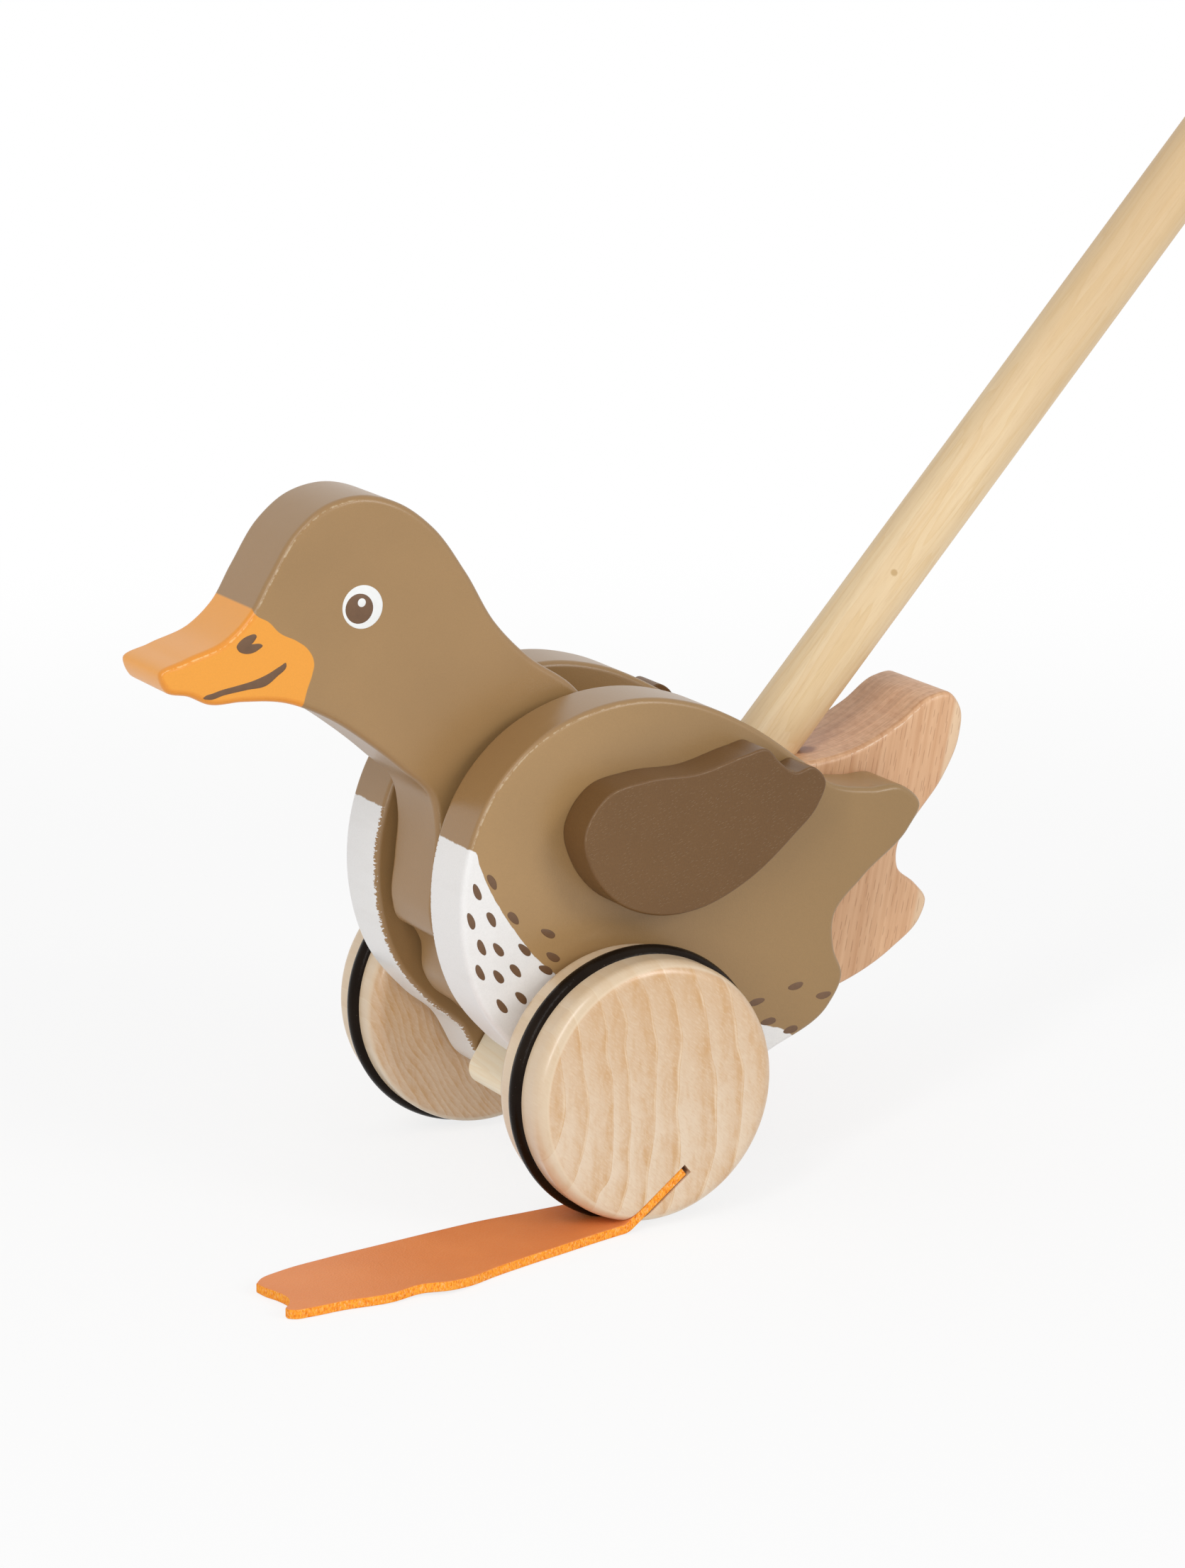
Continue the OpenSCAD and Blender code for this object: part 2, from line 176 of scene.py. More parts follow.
def noise(tree, layer, turn=(0, 0, 0)):
    # a layer holds scale, per millimetre, and may hold stretch, detail, rough, warp and band
    node = put(tree, "TexNoise", Vector=places(tree, turn, layer.get("stretch", (1, 1, 1))))
    feed(tree, node.inputs["Scale"], layer["scale"])
    feed(tree, node.inputs["Detail"], layer.get("detail", 2))
    feed(tree, node.inputs["Roughness"], layer.get("rough", 0.5))
    feed(tree, node.inputs["Distortion"], layer.get("warp", 0))
    return node.outputs[0]


def distance(tree, x, z, centre):
    # how far a place lies from a line along Y through the centre
    dx, dz = minus(tree, x, centre[0]), minus(tree, z, centre[1])
    return calc(tree, "SQRT", plus(tree, times(tree, dx, dx), times(tree, dz, dz)))


# Dashes: looseness of their cells, then shares of a half size where sides and ends fade, and of the shortest
dash = {"loose": 0.85, "sideFrom": 0.5, "endFrom": 0.6, "shortest": 0.4}


def dashes(tree, turn, cell, half):
    # short strokes, one about the point of each loose cell; cell and half sizes are across and along
    wide, tall = half[0] / cell[0], half[1] / cell[1]
    axes = split(tree, places(tree, turn, (1 / cell[0], 1, 1 / cell[1])))
    flat = put(tree, "CombineXYZ", X=axes["X"], Y=axes["Z"]).outputs[0]
    cells = put(tree, "TexVoronoi", {"voronoi_dimensions": "2D"}, Vector=flat, Scale=1.0,
                Randomness=dash["loose"]).outputs
    off = put(tree, "VectorMath", {"operation": "SUBTRACT"})
    feed(tree, off.inputs[0], flat)
    feed(tree, off.inputs[1], cells["Position"])
    away = split(tree, off.outputs[0])
    chance = put(tree, "SeparateColor", Color=cells["Color"]).outputs[0]
    longest = spread(tree, chance, 0, 1, dash["shortest"] * tall, tall)
    thin = spread(tree, size(tree, away["X"]), dash["sideFrom"] * wide, wide, 1, 0)
    short = spread(tree, calc(tree, "DIVIDE", size(tree, away["Y"]), longest), dash["endFrom"], 1, 1, 0)
    return times(tree, thin, short)


def curveOf(tree, value, points):
    # a drawn curve through the points, as a function of value; points run from low to high
    xs, ys = np.array(points, float).T
    share = spread(tree, value, float(xs[0]), float(xs[-1]))
    node = put(tree, "FloatCurve", Value=share)
    line = node.mapping.curves[0].points
    low, high = ys.min(), ys.max()
    knots = np.stack([(xs - xs[0]) / (xs[-1] - xs[0]), (ys - low) / (high - low)], 1)
    for place in knots[1:-1]:
        line.new(*place)
    line[0].location = knots[0]
    line[len(line) - 1].location = knots[-1]
    node.mapping.update()
    return spread(tree, node.outputs[0], 0, 1, float(low), float(high))


def patches(tree, layer, turn=(0, 0, 0)):
    # a layer's noise, spread over its band
    return spread(tree, noise(tree, layer, turn), *layer["band"])


def attribute(tree, name):
    return put(tree, "Attribute", {"attribute_name": name}).outputs["Fac"]


def layered(tree, colour, *coats):
    # coats are shares and colours, each laid over those before it
    for share, over in coats:
        colour = paintOver(tree, share, colour, over)
    return colour


def newMaterial(name, tone):
    # a finish's dictionary holds rough, and may hold specular
    material = bpy.data.materials.new(name)
    material.use_nodes = True
    shader = material.node_tree.nodes["Principled BSDF"]
    shader.inputs["Roughness"].default_value = tone["rough"]
    if "specular" in tone:
        shader.inputs["Specular IOR Level"].default_value = tone["specular"]
    return material, material.node_tree


def dressed(material, colour, height, tone):
    # links a finish's colour and its bump, as deep in millimetres as its dictionary says
    tree = material.node_tree
    shader = tree.nodes["Principled BSDF"]
    bump = put(tree, "Bump", Height=height, Distance=tone["bump"] * mm)
    tree.links.new(colour, shader.inputs["Base Color"])
    tree.links.new(bump.outputs[0], shader.inputs["Normal"])
    return material


# In the finishes below a band gives the two values that something fades between and, where they aren't zero
# and one, the two results; a share is how much of a colour goes over the one below it

# Paint colours, as they look on the toy; the rump, gap and rim khakis are painted shade, and the pale edge
# colours painted highlights
paint = {
    "khaki": (0.370, 0.220, 0.090, 1), "rimShadeKhaki": (0.334, 0.192, 0.077, 1),
    "boardKhaki": (0.414, 0.252, 0.106, 1), "rumpShadeKhaki": (0.303, 0.182, 0.071, 1),
    "gapShadeKhaki": (0.320, 0.190, 0.077, 1), "gleam": (0.66, 0.53, 0.36, 1),
    "white": (0.855, 0.847, 0.835, 1), "whiteShade": (0.82, 0.808, 0.792, 1),
    "beak": (0.86, 0.350, 0.037, 1), "beakDeep": (0.81, 0.292, 0.026, 1), "beakGleam": (0.95, 0.62, 0.26, 1),
    "wing": (0.158, 0.078, 0.024, 1), "wingDark": (0.132, 0.062, 0.017, 1),
    "wingPore": (0.32, 0.21, 0.11, 1), "wingRim": (0.162, 0.080, 0.0255, 1),
    "brown": (0.160, 0.082, 0.038, 1), "eyeWhite": (0.86, 0.87, 0.86, 1),
}

# Painted highlight along the rounded edges, broken up by noise
gleamPaint = {
    "patch": dict(scale=0.8, detail=4, rough=0.7, band=(0.34, 0.62, 0.25, 1.15)), "lineBand": (0.45, 0.8),
}


def gleamLine(tree, share):
    # painted highlight: a broken line along the edges, strongest where the highlight band is highest
    gleamBand = times(tree, attribute(tree, "gleamBand"), patches(tree, gleamPaint["patch"]))
    return spread(tree, gleamBand, *gleamPaint["lineBand"], 0, share)


satin = {
    "rough": 0.3, "bump": 0.03, "slow": dict(scale=0.035, detail=3), "slowBand": (0.35, 0.7), "darker": 0.91,
    "fine": dict(scale=2.6, detail=3, rough=0.6), "grainBand": (0.3, 0.7, 0.97, 1.025),
    "gleamShare": 0.52, "slowPeel": 6,
}


def satinPaint(name, tone, coats):
    # satin brush paint: two tones by slow noise, a rim painted darker as painted shade, a painted highlight
    # along the edges, the coats, fine orange peel; each coat gives its share and its colour
    material, tree = newMaterial(name, satin)
    slow, fine = noise(tree, satin["slow"]), noise(tree, satin["fine"])
    axes = split(tree, places(tree))
    colour = layered(
        tree, tone, (spread(tree, slow, *satin["slowBand"]), darker(tone, satin["darker"])),
        # the rims are painted darker than the faces, as painted shade
        (attribute(tree, "side"), paint["rimShadeKhaki"]), (gleamLine(tree, satin["gleamShare"]), paint["gleam"]),
        *[coat(tree, axes) for coat in coats],
    )
    colour = shaded(tree, colour, spread(tree, fine, *satin["grainBand"]))
    return dressed(material, colour, plus(tree, fine, times(tree, slow, satin["slowPeel"])), satin)


# Along the board: where the painted shade on its khaki starts, and where it is deepest
rump = {"band": (18, -75)}


def rumpShadeCoat(tree, axes):
    # painted shade: the khaki darkens evenly from the breast to the rump
    return spread(tree, axes["X"], *rump["band"]), paint["rumpShadeKhaki"]


# How far the painted shade of the gap reaches round a board's inner edge
gapShadeReach = {"none": 0.9, "full": 0.1}


def gapShadeCoat(tree, axes):
    # painted shade on the faces that look into the gap between the boards
    out = size(tree, axes["Y"])
    return spread(tree, out, innerY + gapShadeReach["none"], innerY + gapShadeReach["full"]), paint["gapShadeKhaki"]


# White breast and belly: height of its edge above the axle, along the board, rear to front
belly = {
    "edge": [
        (-60, -6), (-50, -3), (-47.4, 0.7), (-45.2, 2.4), (-40, 4.4), (-25, 8), (-10, 12), (5, 18),
        (14.7, 24.4), (19.1, 28.6), (23.9, 34.8), (26.5, 38.7), (29.3, 43.3), (31.4, 47.7), (32.9, 51.5),
        (34, 54.6), (40, 55),
    ],
    "soft": 0.12, "wobble": dict(scale=0.5, band=(0, 1, -0.4, 0.4)),
    "inset": 1.55, "jag": 1.35, "brushSoft": 0.1, "brushBand": (0.3, 0.7),
    "brush": dict(scale=2.1, stretch=(1, 0.22, 1), rough=0.6),
    "streak": dict(scale=0.22, stretch=(1, 0.12, 1), detail=3, band=(0.5, 0.8)),
}


def bellyCoat(tree, axes):
    # below the belly's edge, and from the outer face round to a ragged brush line on the inner edge
    wobble = patches(tree, belly["wobble"])
    edge = plus(tree, curveOf(tree, axes["X"], belly["edge"]), plus(tree, wobble, axleZ))
    under = spread(tree, minus(tree, edge, axes["Z"]), -belly["soft"], belly["soft"])
    lineAt = innerY + belly["inset"]
    brush = spread(tree, noise(tree, belly["brush"]), *belly["brushBand"], lineAt - belly["jag"], lineAt)
    past = minus(tree, size(tree, axes["Y"]), brush)
    outside = spread(tree, past, -belly["brushSoft"], belly["brushSoft"])
    white = paintOver(tree, patches(tree, belly["streak"]), paint["white"], paint["whiteShade"])
    return times(tree, under, outside), white


# Beak: how far forward its edge lies, by height above the axle, chin to brow
beak = {
    "edge": [
        (84, 66.6), (87, 66), (90.2, 65.1), (94, 63.7), (96.3, 63.3), (99.3, 64.6), (101.4, 67.1),
        (103.7, 71.3), (106.3, 73.8), (108.6, 77.1), (110.4, 77.5), (112.5, 92),
    ],
    "soft": 0.12, "gleamShare": 0.6,
}


def beakCoat(tree, axes):
    # in front of the beak's edge, deeper on the rounded edges of the board, with a painted highlight along
    # them
    edge = curveOf(tree, minus(tree, axes["Z"], axleZ), beak["edge"])
    share = spread(tree, minus(tree, axes["X"], edge), -beak["soft"], beak["soft"])
    return share, layered(tree, paint["beak"], (attribute(tree, "edge"), paint["beakDeep"]),
                          (gleamLine(tree, beak["gleamShare"]), paint["beakGleam"]))


wingGrain = {
    "rough": 0.42, "specular": 0.38, "bump": 0.03,
    "slow": dict(scale=0.06, detail=3, band=(0.35, 0.7, 0, 0.4)), "rearShadeBand": (5, -45, 0, 0.6),
    "poreTurn": (0, 68, 0), "poreCell": (0.8, 1.3), "poreHalf": (0.08, 0.5), "poreShare": 0.42,
    "poreDepth": 1.4, "sparse": dict(scale=0.35, band=(0.4, 0.65)), "gleamShare": 0.16,
    "fine": dict(scale=2.2, detail=3, rough=0.6), "grainBand": (0.3, 0.7, 0.93, 1.07),
}


def wingPaint():
    # thin brown paint over open-pored wood: short pale pores run up towards the tail; darker to the rear as
    # painted shade, with a painted highlight along the edges
    tone = wingGrain
    material, tree = newMaterial("wing_paint", tone)
    side, fine = attribute(tree, "side"), noise(tree, tone["fine"])
    pore = dashes(tree, tone["poreTurn"], tone["poreCell"], tone["poreHalf"])
    pore = times(tree, pore, minus(tree, patches(tree, tone["sparse"]), side, True))
    # painted shade: the wing darkens towards the rear
    rear = spread(tree, split(tree, places(tree))["X"], *tone["rearShadeBand"])
    colour = layered(
        tree, paint["wing"], (plus(tree, patches(tree, tone["slow"]), rear, True), paint["wingDark"]),
        (times(tree, pore, tone["poreShare"]), paint["wingPore"]), (side, paint["wingRim"]),
        (gleamLine(tree, tone["gleamShare"]), paint["gleam"]),
    )
    colour = shaded(tree, colour, spread(tree, fine, *tone["grainBand"]))
    return dressed(material, colour, minus(tree, fine, times(tree, pore, tone["poreDepth"])), tone)


printPaint = {
    "rough": 0.4, "bump": 0.02, "patch": dict(scale=0.8, detail=3, band=(0.35, 0.7)), "fine": dict(scale=3),
    "brownShade": 0.88, "whiteShade": 0.97,
}


def flatPaint(name, colour, shade):
    # one printed colour with a little unevenness in its body
    material, tree = newMaterial(name, printPaint)
    colour = paintOver(tree, patches(tree, printPaint["patch"]), colour, darker(colour, shade))
    return dressed(material, colour, noise(tree, printPaint["fine"]), printPaint)


# Wheels: places of the rings by their distance from a far centre, and each wheel's own piece of wood, the
# right one darkened as painted shade; the turned face is a little off the axle
wheelGrain = {
    "base": (0.755, 0.600, 0.440, 1), "deep": (0.590, 0.325, 0.122, 1), "pale": (0.85, 0.70, 0.51, 1),
    "rim": (0.745, 0.625, 0.450, 1), "rough": 0.28, "specular": 0.8, "bump": 0.015,
    "ringsAt": [10, 17, 25, 32, 41, 48, 54, 60, 66.3, 73.3, 78.3, 84, 90.4, 98.6, 105.1, 113, 120],
    "firstRing": -7, "wander": dict(scale=0.06, stretch=(1, 0.05, 0.5), band=(0, 1, -5, 5)),
    "lateCurve": 1.3, "lateBand": (0.32, 0.66, 0.35, 1), "lineRise": (0.90, 0.95), "lineFall": (1.0, 0.975),
    "faint": dict(scale=0.11, stretch=(1, 0.2, 1), band=(0.4, 0.62, 0.12, 0.55)),
    "blotch": dict(scale=0.4, stretch=(1, 0.2, 0.35), detail=3, rough=0.65),
    "blotchBand": (0.5, 0.72, 0, 0.3), "warmBand": (22, 58), "warmShare": 0.52,
    "strokes": dict(scale=1.0, stretch=(0.7, 0.3, 3.2), rough=0.6), "strokeTurn": (0, 45, 0),
    "silkBand": (0.52, 0.74, 0, 0.28), "dullBand": (0.46, 0.28, 0, 0.25),
    "faceR": 28.6, "rimBand": (-0.4, 0.3, 0, 0.55), "faceEdgeGleamBand": (0.1, 0.4, 0.3, 0),
    "left": {"centre": (84.5, 31), "faceX": -1.35, "finer": 1, "farShade": 0},
    # the right wheel's wood is darkened as painted shade
    "right": {"centre": (-64, 58), "faceX": 1.35, "finer": 4.2, "farShade": 0.26},
}


def wheelWood(name, wheel):
    # end grain: growth rings about a far centre, each darker towards its thin pale line, with short silky
    # strokes; the turned rim is creamier, with a pale ring painted as a highlight where it meets the face;
    # finer narrows the rings, and the far shade darkens the right wheel's wood as painted shade
    tone = wheelGrain
    material, tree = newMaterial(name, tone)
    axes = split(tree, places(tree))
    x, z = axes["X"], axes["Z"]
    rings = [(far, k + tone["firstRing"]) for k, far in enumerate(tone["ringsAt"])]
    out = plus(tree, distance(tree, x, z, wheel["centre"]), patches(tree, tone["wander"]))
    ring = calc(tree, "FRACT", times(tree, curveOf(tree, out, rings), wheel["finer"]))
    blotch, strokes = noise(tree, tone["blotch"]), noise(tree, tone["strokes"], tone["strokeTurn"])
    late = calc(tree, "POWER", ring, tone["lateCurve"])
    line = times(tree, spread(tree, ring, *tone["lineRise"]), spread(tree, ring, *tone["lineFall"]))
    warm = spread(tree, z, *tone["warmBand"], wheel["farShade"], wheel["farShade"] + tone["warmShare"])
    past = minus(tree, distance(tree, x, z, (wheel["faceX"], axleZ)), tone["faceR"])
    colour = layered(
        tree, tone["base"], (times(tree, late, spread(tree, blotch, *tone["lateBand"])), tone["deep"]),
        (spread(tree, blotch, *tone["blotchBand"]), tone["deep"]), (warm, tone["deep"]),
        (times(tree, line, patches(tree, tone["faint"])), tone["pale"]),
        (spread(tree, strokes, *tone["silkBand"]), tone["pale"]),
        (spread(tree, strokes, *tone["dullBand"]), tone["deep"]),
        (spread(tree, past, *tone["rimBand"], smooth=True), tone["rim"]),
        # a pale ring painted as a highlight where the rim meets the flat face
        (spread(tree, size(tree, past), *tone["faceEdgeGleamBand"]), tone["pale"]),
    )
    return dressed(material, colour, strokes, tone)


# Knots: shares of a knot's size by which its edge wanders and within which it is full
knot = {"uneven": 1 / 3, "core": 0.65, "share": 0.85}


def knotSpot(tree, tone, streak):
    # brown spot with a soft uneven edge
    near = put(tree, "VectorMath", {"operation": "DISTANCE"})
    feed(tree, near.inputs[0], places(tree))
    feed(tree, near.inputs[1], tone["knotAt"])
    wide = tone["knotSize"]
    uneven = spread(tree, streak, 0, 1, -wide * knot["uneven"], wide * knot["uneven"])
    away = plus(tree, near.outputs["Value"], uneven)
    return spread(tree, away, wide, knot["core"] * wide, 0, knot["share"])


dowelGrain = {
    "rough": 0.45, "bump": 0.02,
    "streak": dict(scale=0.4, stretch=(1, 1, 0.03), detail=4, rough=0.6, warp=0.4),
    "streakBand": (0.3, 0.72), "cloud": dict(scale=0.1, stretch=(1, 1, 0.1), band=(0.45, 0.75, 0, 0.45)),
    "fibre": dict(scale=2.4, stretch=(1, 1, 0.07), detail=3, rough=0.65), "fibreBand": (0.5, 0.72, 0, 0.3),
    "flow": dict(scale=0.13, stretch=(1, 1, 0.09), warp=0.3), "flames": 9,
    "flameRise": (0.55, 0.97, 0, 0.27), "flameFall": (1.0, 0.97),
}

# The turn brings a piece's grain upright; within its upper shade band the wood is darkened upwards as painted
# shade
stickTone = {
    "base": (0.765, 0.560, 0.320, 1), "deep": (0.590, 0.395, 0.200, 1), "pale": (0.81, 0.630, 0.390, 1),
    "flame": (0.66, 0.42, 0.16, 1), "upperShadeBand": (150, 300), "turn": (0, 42, 0),
    "knot": (0.54, 0.35, 0.15, 1), "knotAt": (-86.8, 6.5, 132.5), "knotSize": 1.0,
}
camTone = {
    "base": (0.97, 0.84, 0.61, 1), "deep": (0.90, 0.72, 0.47, 1), "pale": (0.99, 0.92, 0.75, 1),
    "flame": (0.84, 0.62, 0.34, 1), "upperShadeBand": (60, 120), "turn": (90, 0, 0),
    "knot": (0.60, 0.42, 0.22, 1), "knotAt": (9, 4, 24), "knotSize": 1.0,
}


def dowelWood(name, tone):
    # lengthwise grain: slow bands and fine fibres drawn out along the dowel, a few long flame lines, soft
    # clouds, one small knot, and painted shade that darkens the wood upwards
    grain, turn = dowelGrain, tone["turn"]
    material, tree = newMaterial(name, grain)
    streak, fibre = noise(tree, grain["streak"], turn), noise(tree, grain["fibre"], turn)
    ring = calc(tree, "FRACT", times(tree, noise(tree, grain["flow"], turn), grain["flames"]))
    flame = times(tree, spread(tree, ring, *grain["flameRise"]), spread(tree, ring, *grain["flameFall"]))
    colour = layered(
        tree, tone["pale"], (spread(tree, streak, *grain["streakBand"]), tone["base"]),
        (patches(tree, grain["cloud"], turn), tone["deep"]), (flame, tone["flame"]),
        (spread(tree, fibre, *grain["fibreBand"]), tone["deep"]),
        # painted shade, darker upwards
        (spread(tree, split(tree, places(tree))["Z"], *tone["upperShadeBand"]), tone["deep"]),
        (knotSpot(tree, tone, streak), tone["knot"]),
    )
    return dressed(material, colour, fibre, grain)


# Tail: a pair of shares is for the faces and for the edge all round, parted by the side attribute
beech = {
    "base": (0.620, 0.335, 0.172, 1), "deep": (0.330, 0.140, 0.060, 1), "pale": (0.77, 0.48, 0.28, 1),
    "rough": 0.4, "bump": 0.03, "turn": (0, 11, 0), "edgeBand": (0.3, 0.8), "edgeShare": (0, 0.07),
    "streak": dict(scale=0.5, stretch=(1.6, 1, 0.05), detail=3, rough=0.6), "streakBand": (0.3, 0.7),
    "rayCell": (1.5, 5.2), "rayHalf": (0.14, 2.4), "rayShare": (0.42, 0),
    "layer": dict(scale=1.3, stretch=(0.03, 1, 0.03), detail=4, rough=0.7, band=(0.44, 0.58)),
    "layerShare": (0.05, 0.32),
    "saw": dict(scale=1.4, stretch=(1.2, 0.1, 1), detail=3, band=(0.48, 0.66)), "sawShare": (0, 0.3),
    "sap": (0.80, 0.60, 0.40, 1), "sapBand": (-76, -77, 0, 0.7), "sapWander": 3,
    "slow": dict(scale=0.07, stretch=(1, 0.6, 0.2), detail=3),
    "corner": (0.90, 0.70, 0.52, 1), "gleamShare": 0.6,
    "knot": (0.24, 0.085, 0.03, 1), "knotAt": (-65, 3.5, 92.2), "knotSize": 3.4,
}


def beechWood(name):
    # flat-sawn beech: short dark rays along the grain on the faces, growth layers and faint saw marks on the
    # edge, a paler band at the rear, a painted highlight along the edges, a brown knot by the stick
    tone, turn = beech, beech["turn"]
    material, tree = newMaterial(name, tone)
    side, streak = attribute(tree, "side"), noise(tree, tone["streak"], turn)

    def shareOf(key):
        return spread(tree, side, *tone["edgeBand"], *tone[key])

    ray = times(tree, dashes(tree, turn, tone["rayCell"], tone["rayHalf"]), shareOf("rayShare"))
    layer = times(tree, patches(tree, tone["layer"], turn), shareOf("layerShare"))
    saw = times(tree, patches(tree, tone["saw"], turn), shareOf("sawShare"))
    wander = times(tree, noise(tree, tone["slow"], turn), tone["sapWander"])
    rear = plus(tree, split(tree, places(tree, turn))["X"], wander)
    colour = layered(
        tree, tone["pale"], (spread(tree, streak, *tone["streakBand"]), tone["base"]),
        (spread(tree, rear, *tone["sapBand"]), tone["sap"]), (shareOf("edgeShare"), tone["deep"]),
        (layer, tone["deep"]), (saw, tone["pale"]), (ray, tone["deep"]),
        (gleamLine(tree, tone["gleamShare"]), tone["corner"]), (knotSpot(tree, tone, streak), tone["knot"]),
    )
    return dressed(material, colour, minus(tree, streak, ray), tone)


tyreRubber = {
    "black": (0.010, 0.0055, 0.003, 1), "bloom": (0.016, 0.010, 0.006, 1), "dust": (0.20, 0.16, 0.13, 1),
    "rough": 0.22, "specular": 0.07, "bump": 0.05, "skin": dict(scale=1.6),
    "bloomPatch": dict(scale=0.09, band=(0.4, 0.7)),
    "dustPatch": dict(scale=1.9, rough=0.6, band=(0.73, 0.77, 0, 0.6)),
}


def rubber():
    # black rubber: satin, with a few specks of dust
    tone = tyreRubber
    material, tree = newMaterial("tyre_rubber", tone)
    colour = layered(tree, tone["black"], (patches(tree, tone["bloomPatch"]), tone["bloom"]),
                     (patches(tree, tone["dustPatch"]), tone["dust"]))
    return dressed(material, colour, noise(tree, tone["skin"]), tone)


grainSide = {
    "base": (0.850, 0.262, 0.068, 1), "deep": (0.770, 0.216, 0.050, 1), "toes": (0.87, 0.315, 0.108, 1),
    "pebble": (0.85, 0.40, 0.19, 1), "rough": 0.5, "specular": 0.3, "bump": 0.06,
    "slow": dict(scale=0.05, detail=3, band=(0.3, 0.7)), "toeBand": (45, 95, 0, 0.5),
    "pebbleScale": 1.9, "pebbleBand": (0.1, 0.6, 0, 0.12), "crease": dict(scale=1.1, detail=3),
}


def leatherTop():
    # smooth orange grain side: fine pebble, slow tone changes, paler towards the toes
    tone = grainSide
    material, tree = newMaterial("leather_top", tone)
    spot = places(tree)
    along = size(tree, split(tree, spot)["X"])
    pebble = put(tree, "TexVoronoi", {"feature": "F1"}, Vector=spot, Scale=tone["pebbleScale"]).outputs[0]
    colour = layered(
        tree, tone["base"], (patches(tree, tone["slow"]), tone["deep"]),
        (spread(tree, along, *tone["toeBand"], smooth=True), tone["toes"]),
        (spread(tree, pebble, *tone["pebbleBand"]), tone["pebble"]),
    )
    return dressed(material, colour, plus(tree, pebble, noise(tree, tone["crease"])), tone)


cutEdge = {
    "base": (0.93, 0.265, 0.012, 1), "bright": (1.0, 0.43, 0.045, 1), "speck": (0.55, 0.11, 0.008, 1),
    "pale": (0.98, 0.58, 0.26, 1), "rough": 0.8, "specular": 0.25, "bump": 0.15,
    "fibre": dict(scale=1.5, stretch=(1.6, 1.6, 0.8), detail=3, rough=0.65), "brightBand": (0.40, 0.60),
    "speckBand": (0.42, 0.31, 0, 0.6), "fuzz": dict(scale=1.6, stretch=(2, 2, 1), band=(0.54, 0.70, 0, 0.7)),
}


def leatherEdge():
    # cut edge: bright orange, with dark red specks and pale fibres across the thickness
    tone = cutEdge
    material, tree = newMaterial("leather_edge", tone)
    fibre = noise(tree, tone["fibre"])
    colour = layered(
        tree, tone["base"], (spread(tree, fibre, *tone["brightBand"]), tone["bright"]),
        (spread(tree, fibre, *tone["speckBand"]), tone["speck"]), (patches(tree, tone["fuzz"]), tone["pale"]),
    )
    return dressed(material, colour, fibre, tone)


fleshSide = {
    "base": (0.70, 0.34, 0.21, 1), "deep": (0.60, 0.25, 0.13, 1), "rough": 0.9, "bump": 0.08,
    "nap": dict(scale=1.8, detail=4, rough=0.7), "napBand": (0.3, 0.7),
}


def leatherUnder():
    # flesh side: pinkish suede
    material, tree = newMaterial("leather_under", fleshSide)
    nap = noise(tree, fleshSide["nap"])
    colour = paintOver(tree, spread(tree, nap, *fleshSide["napBand"]), fleshSide["base"], fleshSide["deep"])
    return dressed(material, colour, nap, fleshSide)


looks = {
    "board": satinPaint("board_paint", paint["boardKhaki"], [rumpShadeCoat, gapShadeCoat, bellyCoat]),
    "head": satinPaint("head_paint", paint["khaki"], [beakCoat]),
    "wing": wingPaint(),
    "speckle": flatPaint("speckle_brown", paint["brown"], printPaint["brownShade"]),
    "eyeWhite": flatPaint("eye_white", paint["eyeWhite"], printPaint["whiteShade"]),
    "leftWheel": wheelWood("left_wheel_wood", wheelGrain["left"]),
    "rightWheel": wheelWood("right_wheel_wood", wheelGrain["right"]),
    "beech": beechWood("tail_beech"),
    "stick": dowelWood("stick_wood", stickTone),
    "cam": dowelWood("cam_wood", camTone),
    "rubber": rubber(),
    "leatherTop": leatherTop(), "leatherEdge": leatherEdge(), "leatherUnder": leatherUnder(),
}
print("materials:", len(looks))


# Curves and surfaces; outlines are forward and up from the axle, anticlockwise as seen from the duck's right
def smoothLoop(points, step=0.7):
    # closed cubic through the points, about a step between its own: the slope at a point weighs the two
    # chords beside it by the other's length
    p = np.array(points, float)
    ahead = np.roll(p, -1, 0) - p
    chord = np.linalg.norm(ahead, axis=1)[:, None]
    back, backChord = np.roll(ahead, 1, 0), np.roll(chord, 1, 0)
    slope = (back * chord / backChord + ahead * backChord / chord) / (chord + backChord)
    count = np.maximum(2, np.ceil(chord[:, 0] / step)).astype(int)
    k = np.repeat(np.arange(len(p)), count)
    t = np.concatenate([np.arange(n) / n for n in count])[:, None]
    m, o, d = chord[k] * slope[k], chord[k] * np.roll(slope, -1, 0)[k], ahead[k]
    return p[k] + t * m + t * t * (3 * d - 2 * m - o) + t ** 3 * (m + o - 2 * d)


def inwardOf(loop):
    # unit vectors into a loop that runs anticlockwise, square to its run
    run = np.roll(loop, -1, 0) - np.roll(loop, 1, 0)
    into = np.stack([-run[:, 1], run[:, 0]], 1)
    return into / np.linalg.norm(into, axis=1)[:, None]


def gridFaces(rows, columns, wrap):
    # quads of a grid of points, row by row; wrap joins the last column to the first
    i, j = np.meshgrid(np.arange(columns if wrap else columns - 1), np.arange(rows - 1))
    k = (i + 1) % columns
    here, above = j * columns, (j + 1) * columns
    return np.stack([here + i, above + i, above + k, here + k], -1).reshape(-1, 4)


